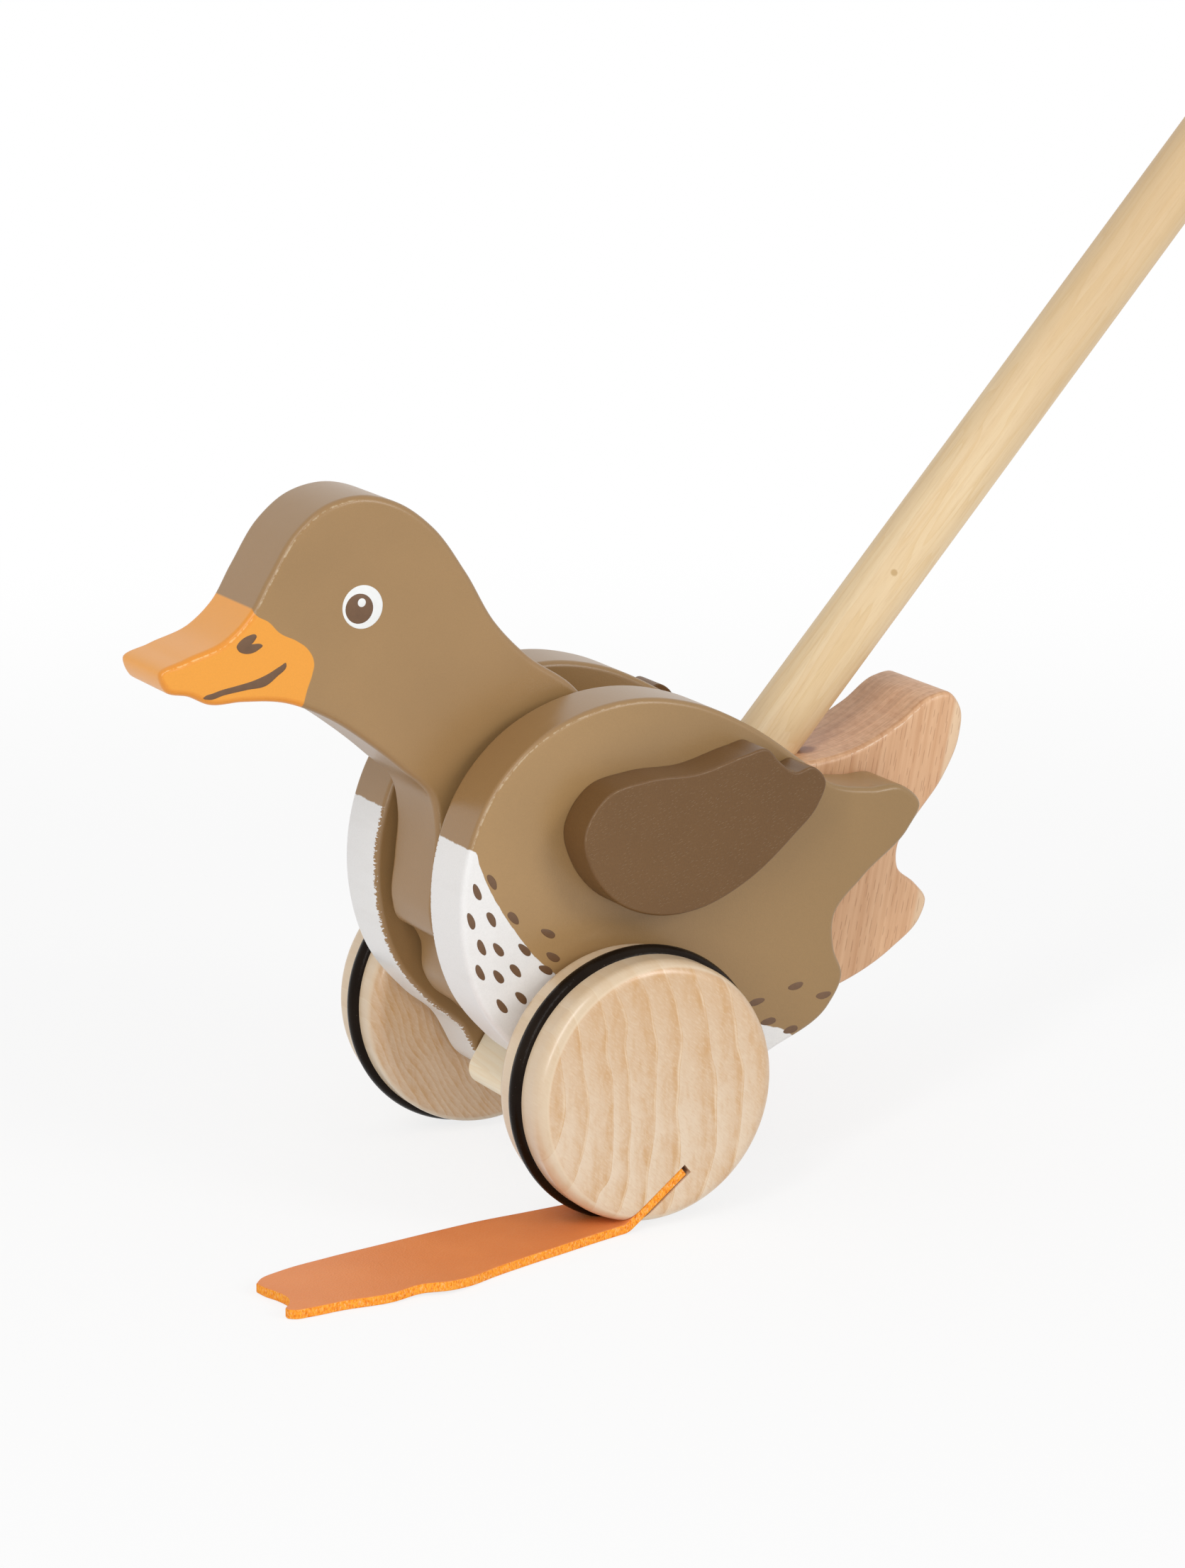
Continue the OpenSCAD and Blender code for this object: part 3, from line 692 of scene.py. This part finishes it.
def addPiece(name, points, faces, body, materials, replaces=(), values=None):
    # values holds named numbers for each point
    mesh = bpy.data.meshes.new(name)
    mesh.from_pydata((np.asarray(points) * mm).tolist(), [], [list(f) for f in faces])
    for material in materials:
        mesh.materials.append(material)
    for key, numbers in (values or {}).items():
        mesh.attributes.new(key, "FLOAT", "POINT").data.foreach_set("value", np.asarray(numbers, np.float32))
    mesh.shade_smooth()
    mesh.update()
    piece = bpy.data.objects.new(name, mesh)
    bpy.context.scene.collection.objects.link(piece)
    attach(piece, body)
    if replaces:
        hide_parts(*replaces)
    return piece


# Edges of the boards: steps of a quarter round, narrow flat strips beside it, and where the painted highlight
# lies on it, in degrees round the edge; ease counts the points on either side that a tight bend is eased over
edgeRound = {
    "steps": 9, "strip": 0.3, "tight": 0.8, "ease": 4, "leastTurn": 1e-4,
    "gleamAt": 30, "gleamWide": 11, "gleamToward": 41, "gleamFrom": 0.45, "gleamFull": 0.85, "gleamLeast": 0.3,
}


def roomInside(loop, depth):
    # share of the depth that fits inside the loop's tightest bends, eased along the loop
    run = np.roll(loop, -1, 0) - loop
    length = np.linalg.norm(run, axis=1)
    before = np.roll(run, 1, 0)
    turn = np.arctan2(before[:, 0] * run[:, 1] - before[:, 1] * run[:, 0], (before * run).sum(1))
    radius = (length + np.roll(length, 1)) / 2 / np.maximum(turn, edgeRound["leastTurn"])
    share = np.minimum(1, edgeRound["tight"] * radius / depth)
    near = range(-edgeRound["ease"], edgeRound["ease"] + 1)
    share = np.min([np.roll(share, k) for k in near], 0)
    return np.mean([np.roll(share, k) for k in near], 0)


def boardRings(lowY, highY, lowR, highR):
    # profile across a board, [inset, y, highlight, edge, side]: flat strip, quarter round, side, quarter
    # round, flat strip; a radius of zero leaves that edge sharp; a painted highlight runs along a line near
    # the face
    q = np.linspace(0, np.pi / 2, edgeRound["steps"] + 1)
    gleamBand = np.exp(-((np.degrees(q) - edgeRound["gleamAt"]) / edgeRound["gleamWide"]) ** 2)
    traits = np.stack([gleamBand, np.sin(2 * q) ** 0.5, np.sin(q)], 1)
    low = np.column_stack([lowR * (1 - np.sin(q)), lowY + lowR * (1 - np.cos(q)), traits])
    high = np.column_stack([highR * (1 - np.sin(q)), highY - highR * (1 - np.cos(q)), traits])[::-1]
    strip = edgeRound["strip"]
    first, last = [[lowR + strip, lowY, 0, 0, 0]], [[highR + strip, highY, 0, 0, 0]]
    side = [[0, lowY + lowR + strip, 0, 0, 1], [0, highY - highR - strip, 0, 0, 1]]
    return np.concatenate([first, low if lowR else low[:1], side, high if highR else high[-1:], last])


def addBoard(name, outline, lowY, highY, lowR, highR, body, material):
    # a board: its outline drawn in along the profile's rings, closed by a flat face at each end
    loop = smoothLoop(outline)
    into = inwardOf(loop)
    rings = boardRings(lowY, highY, lowR, highR)
    draw = into * roomInside(loop, rings[:, 0].max())[:, None]
    flat = loop[None] + rings[:, :1, None] * draw[None]
    n = len(loop)
    level = np.broadcast_to(rings[:, 1:2], (len(rings), n))
    points = np.stack([flat[..., 0], level, flat[..., 1] + axleZ], -1).reshape(-1, 3)
    faces = gridFaces(len(rings), n, True).tolist()
    faces.append(np.arange(n).tolist())
    faces.append((np.arange(n)[::-1] + (len(rings) - 1) * n).tolist())
    # edges that face forward and up get the most painted highlight
    toward = math.radians(edgeRound["gleamToward"])
    facing = -into @ np.array([math.cos(toward), math.sin(toward)])
    gleam = np.interp(facing, [edgeRound["gleamFrom"], edgeRound["gleamFull"]], [edgeRound["gleamLeast"], 1])
    gleamBand = rings[:, 2:3] * gleam[None]
    values = {"gleamBand": gleamBand.ravel(), "edge": np.repeat(rings[:, 3], n), "side": np.repeat(rings[:, 4], n)}
    addPiece(name, points, faces, body, [material], (name,), values)


def arc(centre, r, first, last, count):
    # points of an arc, from the first angle to the last
    a = np.radians(np.linspace(first, last, count))
    return (np.array(centre) + r * np.stack([np.cos(a), np.sin(a)], 1)).tolist()


# Side boards: breast, back, rump, belly, then the lobe that carries the axle
sideBoard = {
    "outline": [
        [15.6, 0], [23.1, 6.7], [32.4, 18.3], [37.1, 34], [36.4, 50.2], [30, 66], [19.3, 76.8], [4.1, 83.2],
        [-9, 84.2], [-21.8, 81.6], [-36, 74.8], [-50, 64.9], [-58, 58.9], [-68, 56.8], [-76, 56.4],
        [-81, 51.5], [-78, 46], [-66, 36], [-58.3, 27.5], [-58.4, 20], [-60.6, 13.5], [-57, 6.5],
        [-42, -1.8], [-20, -10.4],
    ],
    "lobe": 14, "lobeFrom": -105, "lobeTo": -15, "lobePoints": 4, "round": 1.4,
}
lobe = arc((0, 0), sideBoard["lobe"], sideBoard["lobeFrom"], sideBoard["lobeTo"], sideBoard["lobePoints"])
for name, low, high in (("left_side_board", innerY, outerY), ("right_side_board", -outerY, -innerY)):
    addBoard(name, sideBoard["outline"] + lobe, low, high, sideBoard["round"], sideBoard["round"], "chassis",
             looks["board"])
print("side boards")

# Tail board: top edge, upper lobe, lower lobe, and the end between the side boards
tailBoard = {
    "outline": [
        [-62, 60.3], [-74, 62.2], [-85, 67], [-93.5, 72.2], [-98.5, 72.6], [-101.8, 68.5], [-101.5, 61.5],
        [-97.5, 52.8], [-89, 42.5], [-85.2, 37.5], [-85.2, 32], [-90, 27.6], [-93, 23.5], [-91.5, 19],
        [-84, 12.6], [-70.5, 6], [-52, 3], [-36, 7], [-25, 18], [-22.5, 34], [-29, 50], [-38, 60], [-50, 61],
    ],
    "round": 1.4,
}
addBoard("tail_board", tailBoard["outline"], -innerY, innerY, tailBoard["round"], tailBoard["round"],
         "chassis", looks["beech"])
print("tail board")

# Wings: front, top edge, feather notch, rear tip, lower edge; the right one's rear end sits higher
wing = {
    "outline": [
        [12, 57], [6, 66], [-4, 68.3], [-17, 68.5], [-29, 71.3], [-34, 72], [-37.5, 68.5], [-41.5, 65.7],
        [-46, 66.5], [-49.4, 63], [-47.5, 57.5], [-41, 51], [-29, 42], [-17, 37.3], [-7, 37], [4, 41.5],
        [10, 49],
    ],
    "round": 0.6, "rightLift": 5.3,
}


def turnedUp(points, centre, angle):
    # points turned up from forward about the centre, angle in degrees
    c, s = math.cos(math.radians(angle)), math.sin(math.radians(angle))
    return np.array(centre) + (np.array(points) - centre) @ np.array([[c, s], [-s, c]])


rightWing = turnedUp(wing["outline"], wing["outline"][0], -wing["rightLift"])
addBoard("left_wing", wing["outline"], outerY, wingOut, 0, wing["round"], "chassis",
         looks["wing"])
addBoard("right_wing", rightWing, -wingOut, -outerY, wing["round"], 0, "chassis", looks["wing"])
print("wings")

# Head board: beak, crown, nape, round end about the pivot, heel over the cam, throat, chin; the heel's top
# and tip are shares of its reach from the axle, the tip a little further out
head = {
    "front": [
        [99.55, 97.3], [93.5, 99.9], [84, 103.2], [78.7, 107.6], [73.7, 115.5], [66.8, 125.4], [60.3, 130.2],
        [51.1, 132], [41.8, 129.4], [33.7, 123.4], [25.7, 112.6], [18.4, 100.4], [10, 91.8], [0, 84.9],
    ],
    "pivotRound": 15, "pivotFrom": 115, "pivotTo": 220, "pivotPoints": 4, "back": [[-5, 36], [5, 25]],
    "heel": 18.5, "heelTop": (0.85, 0.76), "heelTip": (0.94, 0.34), "tipOut": 0.1,
    "throat": [
        [20.8, 9], [25.4, 12.8], [27.6, 17], [28.3, 24.4], [30, 27.4], [34, 30.3], [35.2, 34.5],
        [34.4, 45], [33.6, 55], [35, 62.5], [42, 69.6], [50, 76.4], [60, 83.4], [70, 87.8], [80, 89.1],
        [88, 89.4], [92.5, 91.6], [98, 93.3],
    ],
    "round": 1.6,
}
pivotEnd = arc((pivot[0], pivot[2] - axleZ), head["pivotRound"], head["pivotFrom"], head["pivotTo"],
               head["pivotPoints"])
heelTop = [share * head["heel"] for share in head["heelTop"]]
heelTip = [share * (head["heel"] + head["tipOut"]) for share in head["heelTip"]]
headOutline = head["front"] + pivotEnd + head["back"] + [heelTop, heelTip] + head["throat"]
addBoard("head_board", headOutline, -headHalf, headHalf, head["round"], head["round"], "head",
         looks["head"])
print("head board")


# Printed marks: thin raised paint, its rim sunk a little into the board; shoulder is a share of the lift
printed = {
    "sunk": 0.08, "rim": 0.1, "shoulder": 0.6, "lift": 0.05, "irisLift": 0.08, "glintLift": 0.11,
}


def addMarks(name, loops, face, side, body, material, lift):
    # each loop drawn in over a low rounded rim and closed on both sides; side is 1 or -1 for the board's face
    profile = np.array([[0, -printed["sunk"]], [0, printed["shoulder"] * lift], [printed["rim"], lift]])
    points, faces, base = [], [], 0
    for loop in loops:
        loop = np.asarray(loop)
        flat = loop[None] + profile[:, :1, None] * inwardOf(loop)[None]
        n = len(loop)
        level = np.broadcast_to(side * (face + profile[:, 1:2]), (len(profile), n))
        points.append(np.stack([flat[..., 0], level, flat[..., 1] + axleZ], -1).reshape(-1, 3))
        quads = (gridFaces(len(profile), n, True) + base)[:, ::side]
        under, over = np.arange(n) + base, np.arange(n)[::-1] + base + (len(profile) - 1) * n
        faces += quads.tolist() + [under[::side].tolist(), over[::side].tolist()]
        base += len(profile) * n
    addPiece(name, np.concatenate(points), faces, body, [material])


def oval(centre, length, width, lean=0, count=28, uneven=0.0):
    # an ellipse with its long axis leaning forward from upright by lean degrees; uneven swells and dents it
    a = np.linspace(0, 2 * np.pi, count, endpoint=False)
    swell = 1 + uneven * (np.sin(3 * a + centre[0]) + np.sin(2 * a + 3 * centre[1]))
    u, v = width / 2 * np.cos(a) * swell, length / 2 * np.sin(a) * swell
    c, s = math.cos(math.radians(lean)), math.sin(math.radians(lean))
    return np.stack([centre[0] + u * c + v * s, centre[1] - u * s + v * c], 1)


face = {
    "eye": (51.5, 107.5), "eyeSize": 9.7, "eyePoints": 64,
    "iris": (52.3, 107.2), "irisSize": 6.7, "irisPoints": 48,
    "glint": (51.7, 108.5), "glintSize": 2.0, "glintPoints": 28,
    "nostril": [
        [81.6, 101.7], [80.5, 103.1], [78.8, 103.9], [77.1, 104.0], [76.9, 103.8], [77.5, 102.5],
        [77.8, 102.2], [78.0, 102.1], [75.8, 101.75], [75.5, 101.5], [76.6, 100.5], [79.6, 100.0],
        [81.1, 100.7],
    ],
    "mouth": [
        [89.6, 91.3], [88.3, 90.8], [84.8, 91.4], [79.4, 92.0], [74.7, 92.5], [72.3, 94.1], [69.9, 96.5],
        [70.0, 97.0], [71.2, 96.5], [74.3, 95.0], [77.3, 94.0], [82.1, 93.1], [85.4, 92.6], [87.4, 92.1],
        [89.3, 91.6],
    ],
    "nostrilStep": 0.3, "mouthStep": 0.4,
}


def roundMark(part):
    # a round mark of the face
    return oval(face[part], face[part + "Size"], face[part + "Size"], count=face[part + "Points"])


nostril = smoothLoop(face["nostril"], face["nostrilStep"])
mouth = smoothLoop(face["mouth"], face["mouthStep"])[::-1]
for side, word in ((1, "left"), (-1, "right")):
    for name, loops, look, lift in (
        ("_eye_white", [roundMark("eye")], "eyeWhite", "lift"),
        ("_eye_brown", [roundMark("iris")], "speckle", "irisLift"),
        ("_eye_glint", [roundMark("glint")], "eyeWhite", "glintLift"),
        ("_beak_marks", [nostril, mouth], "speckle", "lift"),
    ):
        addMarks(word + name, loops, headHalf, side, "head", looks[look], printed[lift])
print("face")

# Speckles: breast ones lean more the further back they are, rump ones lie nearly level
speckles = {
    "breast": [
        (33.5, 45.3), (35.0, 38.9), (30.0, 38.7), (32.5, 32.6), (28.3, 31.5), (21.8, 30.6), (32.9, 26.9),
        (28.3, 25.3), (24.1, 26.2), (27.5, 18.4), (22.7, 19.7), (16.5, 25.3), (29.8, 47.2), (24.6, 38.3),
        (15.9, 33.6), (14.7, 28.0),
    ],
    "rump": [(-47.9, 12.6), (-55.3, 9.4), (-37.6, 10.3), (-40.8, 5.2), (-46.7, 2.4)],
    "length": 4.0, "width": 1.65, "leanFront": 22, "leanPerMm": 1.85, "frontX": 35, "rumpLean": 96,
    "uneven": 0.05,
}


def speckle(centre, lean):
    return oval(centre, speckles["length"], speckles["width"], lean, uneven=speckles["uneven"])


def breastLean(x):
    return speckles["leanFront"] + speckles["leanPerMm"] * (speckles["frontX"] - x)


speckleLoops = [speckle(centre, breastLean(centre[0])) for centre in speckles["breast"]]
speckleLoops += [speckle(centre, speckles["rumpLean"]) for centre in speckles["rump"]]
for side, word in ((1, "left"), (-1, "right")):
    addMarks(word + "_speckles", speckleLoops, outerY, side, "chassis", looks["speckle"], printed["lift"])
print("speckles")


# Leather feet: a sheet in the wheel's slot, bent at the rim, then a webbed sole; angles are in degrees
foot = {
    "thick": 2.2, "depth": 16.7, "lean": 38, "place": 78, "bendR": 4, "strap": 19.4, "wheelR": 30,
    "hang": 16, "floorGap": 0.1,
    "outer": [
        [0, 9.7], [7, 11.6], [17, 14.6], [27.5, 17.7], [38, 21.2], [45, 24.2], [50, 25.3], [56, 23.9],
        [63, 25], [75, 24.2], [83, 24.6], [86.2, 24.4], [87.5, 23.3],
    ],
    "toes": [[86.6, 5.3], [86.1, 9], [85, 12.2], [84.6, 17.5], [86.1, 20.6], [87.6, 22.3], [87.5, 23.3]],
    "inner": [
        [0, -9.7], [14, -9], [27, -8.4], [36.5, -7.2], [51.5, -4.9], [66.4, -2.5], [78.6, 0.3], [84.5, 2.9],
        [86.6, 5.3],
    ],
    "lift": 0.8, "liftAt": 53, "liftLong": 9, "liftFrom": 12, "liftTo": 25,
    "rows": 150, "columns": 44, "strapRows": 16, "bendRows": 10, "edgeStep": 0.3,
    "softEdge": 0.3, "softSteps": 2, "softAngle": 50,
}


def openCurve(points, count):
    # smooth curve through the points, there and back as a loop, the way there cut into equal steps
    p = np.array(points, float)
    loop = smoothLoop(np.concatenate([p, p[-2:0:-1]]), foot["edgeStep"])
    far = np.argmin(np.linalg.norm(loop - p[-1], axis=1))
    path = np.concatenate([loop[:far], p[-1:]])
    run = np.concatenate([[0], np.cumsum(np.linalg.norm(np.diff(path, axis=0), axis=1))])
    want = np.linspace(0, run[-1], count)
    return np.stack([np.interp(want, run, path[:, k]) for k in (0, 1)], 1)


def solePatch():
    # Coons patch between the sole's four edges: ankle line, toes, inner and outer edge
    rows, columns = foot["rows"], foot["columns"]
    r = np.linspace(0, 1, rows)[:, None, None]
    s = np.linspace(0, 1, columns)[None, :, None]
    inner = openCurve(foot["inner"], rows)[:, None]
    outer = openCurve(foot["outer"], rows)[:, None]
    toes = openCurve(foot["toes"], columns)[None]
    ankle = np.stack([np.zeros(columns), np.linspace(-1, 1, columns) * foot["strap"] / 2], 1)[None]
    near = (1 - s) * ankle[:, :1] + s * ankle[:, -1:]
    far = (1 - s) * toes[:, :1] + s * toes[:, -1:]
    return (1 - s) * inner + s * outer + (1 - r) * ankle + r * toes - ((1 - r) * near + r * far)


def addFoot(name, side):
    # sheet coordinates are along and out: along runs down the slot, round the bend and over the sole;
    # side is 1 or -1, and the right foot is half a turn on and hangs further down
    bendR, thick = foot["bendR"], foot["thick"]
    lean, place = math.radians(foot["lean"]), math.radians(foot["place"])
    bend = math.radians(foot["lean"] + (0 if side > 0 else foot["hang"]))
    soleZ = -axleZ + foot["floorGap"] + thick / 2
    exitX, exitZ = foot["wheelR"] * math.cos(place), -foot["wheelR"] * math.sin(place)
    free = (exitZ - soleZ - bendR * (1 - math.cos(lean))) / math.sin(lean)
    slotRun = np.linspace(-foot["depth"] - free, 0, foot["strapRows"])
    bendRun = bendR * np.linspace(0, bend, foot["bendRows"])[1:-1]
    width = np.linspace(-1, 1, foot["columns"]) * foot["strap"] / 2
    along = np.concatenate([slotRun, bendRun])
    strap = np.stack(np.broadcast_arrays(along[:, None], width[None]), -1)
    sole = solePatch()
    sole[..., 0] += bendR * bend
    sheet = np.concatenate([strap, sole])
    a, o = sheet[..., 0], sheet[..., 1]
    angle = np.clip(a / bendR, 0, bend)
    past = np.maximum(a - bendR * bend, 0)
    u = np.minimum(a, 0) + bendR * np.sin(angle) + past * np.cos(bend) + free
    w = bendR * (1 - np.cos(angle)) + past * np.sin(bend)
    # the outer edge stands a little off the floor halfway along
    outward = np.clip((o - foot["liftFrom"]) / (foot["liftTo"] - foot["liftFrom"]), 0, 1) ** 2
    w = w + foot["lift"] * outward * np.exp(-((past - foot["liftAt"]) / foot["liftLong"]) ** 2)
    x = exitX + u * math.cos(lean) + w * math.sin(lean)
    z = exitZ - u * math.sin(lean) + w * math.cos(lean)
    points = np.stack([side * x, side * (wheelY + o), side * z + axleZ], -1)
    faces = gridFaces(*a.shape, False)
    piece = addPiece(name, points.reshape(-1, 3), faces[:, ::side], "running_gear",
                     [looks["leatherTop"], looks["leatherUnder"], looks["leatherEdge"]], (name,))
    wall = piece.modifiers.new("thickness", "SOLIDIFY")
    wall.thickness = thick * mm
    wall.offset = 0
    wall.material_offset = 1
    wall.material_offset_rim = 2
    soft = piece.modifiers.new("edges", "BEVEL")
    soft.width = foot["softEdge"] * mm
    soft.segments = foot["softSteps"]
    soft.limit_method = "ANGLE"
    soft.angle_limit = math.radians(foot["softAngle"])


addFoot("left_foot", 1)
addFoot("right_foot", -1)
print("feet")


# Pieces that keep their solid take a finish
finishes = {
    "left_wheel": "leftWheel", "right_wheel": "rightWheel", "left_tyre": "rubber", "right_tyre": "rubber",
    "push_stick": "stick", "stick_knob": "stick", "cam": "cam", "axle": "cam", "tail_dowels": "beech",
    "head_pivot": "beech", "left_head_spacer": "cam", "right_head_spacer": "cam",
}
for name, look in finishes.items():
    slots = nodes[name].data.materials
    slots.clear()
    slots.append(looks[look])
print("finishes:", len(finishes))


# Pale floor round the object, plain white further off, and even light all round, in metres
stage = {
    "half": 4.0, "near": 0.25, "far": 0.75, "white": 0.8, "colour": (0.95, 0.95, 0.95, 1), "rough": 0.9,
    "skyLight": 0.58, "skyColour": (1, 1, 1, 1),
}


def seenDirectly(tree):
    # one for rays from the camera, off a mirror-like surface or through glass, else zero
    path = put(tree, "LightPath").outputs
    seen = calc(tree, "MAXIMUM", path["Is Camera Ray"], path["Is Glossy Ray"])
    return calc(tree, "MAXIMUM", seen, path["Is Transmission Ray"])


def makeFloor():
    # a level square, nearly white where it is seen directly and plain white away from the object
    half = stage["half"]
    corners = [(-half, -half, 0), (half, -half, 0), (half, half, 0), (-half, half, 0)]
    mesh = bpy.data.meshes.new("floor")
    mesh.from_pydata(corners, [], [(0, 1, 2, 3)])
    material, tree = newMaterial("floor", stage)
    shader = tree.nodes["Principled BSDF"]
    shader.inputs["Base Color"].default_value = stage["colour"]
    away = put(tree, "VectorMath", {"operation": "LENGTH"})
    tree.links.new(put(tree, "TexCoord").outputs["Object"], away.inputs[0])
    fade = spread(tree, away.outputs["Value"], stage["near"], stage["far"], stage["white"], 1, True)
    white = put(tree, "Emission", Color=stage["skyColour"], Strength=1.0)
    mixed = put(tree, "MixShader", Fac=times(tree, fade, seenDirectly(tree)))
    tree.links.new(shader.outputs[0], mixed.inputs[1])
    tree.links.new(white.outputs[0], mixed.inputs[2])
    tree.links.new(mixed.outputs[0], tree.nodes["Material Output"].inputs["Surface"])
    mesh.materials.append(material)
    floor = bpy.data.objects.new("floor", mesh)
    bpy.context.scene.collection.objects.link(floor)


def makeSky():
    # even white light all round, and a plain white background
    world = bpy.data.worlds.new("studio")
    world.use_nodes = True
    tree = world.node_tree
    level = spread(tree, seenDirectly(tree), 0, 1, stage["skyLight"], 1)
    tree.links.new(level, tree.nodes["Background"].inputs["Strength"])
    tree.nodes["Background"].inputs["Color"].default_value = stage["skyColour"]
    bpy.context.scene.world = world


# Soft boxes, in metres and watts: the key stands behind the duck's left, a tall strip in front
lamps = {
    "key": {"place": (-1.0, 1.75, 0.95), "size": (0.8, 0.8), "power": 12.0},
    "strip": {"place": (1.05, 0.85, 0.95), "size": (0.15, 1.6), "power": 8.5},
}
lampAim = np.array([0.0, 0.0, 0.1])


def makeLamp(name, lamp):
    light = bpy.data.lights.new(name, "AREA")
    light.shape = "RECTANGLE"
    light.size, light.size_y = lamp["size"]
    light.energy = lamp["power"]
    holder = bpy.data.objects.new(name, light)
    holder.location = lamp["place"]
    toward = lampAim - np.array(lamp["place"])
    tilt = math.atan2(math.hypot(toward[0], toward[1]), -toward[2])
    holder.rotation_euler = (tilt, 0, math.atan2(-toward[0], toward[1]))
    bpy.context.scene.collection.objects.link(holder)


makeFloor()
makeSky()
for name, lamp in lamps.items():
    makeLamp(name, lamp)
bpy.context.scene.view_settings.view_transform = "Standard"
print("stage and light")
